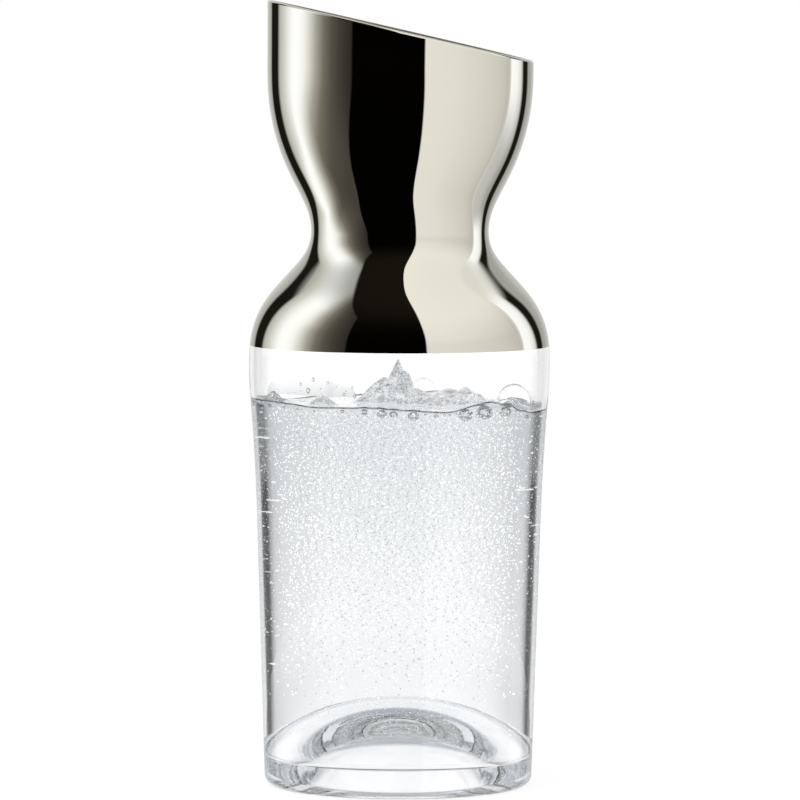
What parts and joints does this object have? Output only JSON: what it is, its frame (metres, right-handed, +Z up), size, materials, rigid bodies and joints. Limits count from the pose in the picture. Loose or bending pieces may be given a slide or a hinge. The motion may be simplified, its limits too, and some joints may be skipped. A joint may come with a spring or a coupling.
{
  "type": "water carafe",
  "caption": "Footless glass water carafe with an hourglass waist, a slanted open mouth, a push-up floor and a bright metal coat on its top.",
  "frame": {"origin": "centre of the standing ring, on the plane that the carafe stands on", "axes": "+Z up along the carafe's axis; the mouth's pouring tip, its highest point, towards -X; the mouth's low side towards +X"},
  "size_m": [0.111, 0.111, 0.29],
  "materials": {
    "clear_glass": "clear, colourless, fire-polished",
    "bright_platinum": "fired metal coat, mirror bright, slightly warm silver",
    "water": "sparkling water, contents only"
  },
  "bodies": {
    "root": {"glass_body": "clear_glass", "platinum_coat": "bright_platinum"}
  },
  "joints": []
}
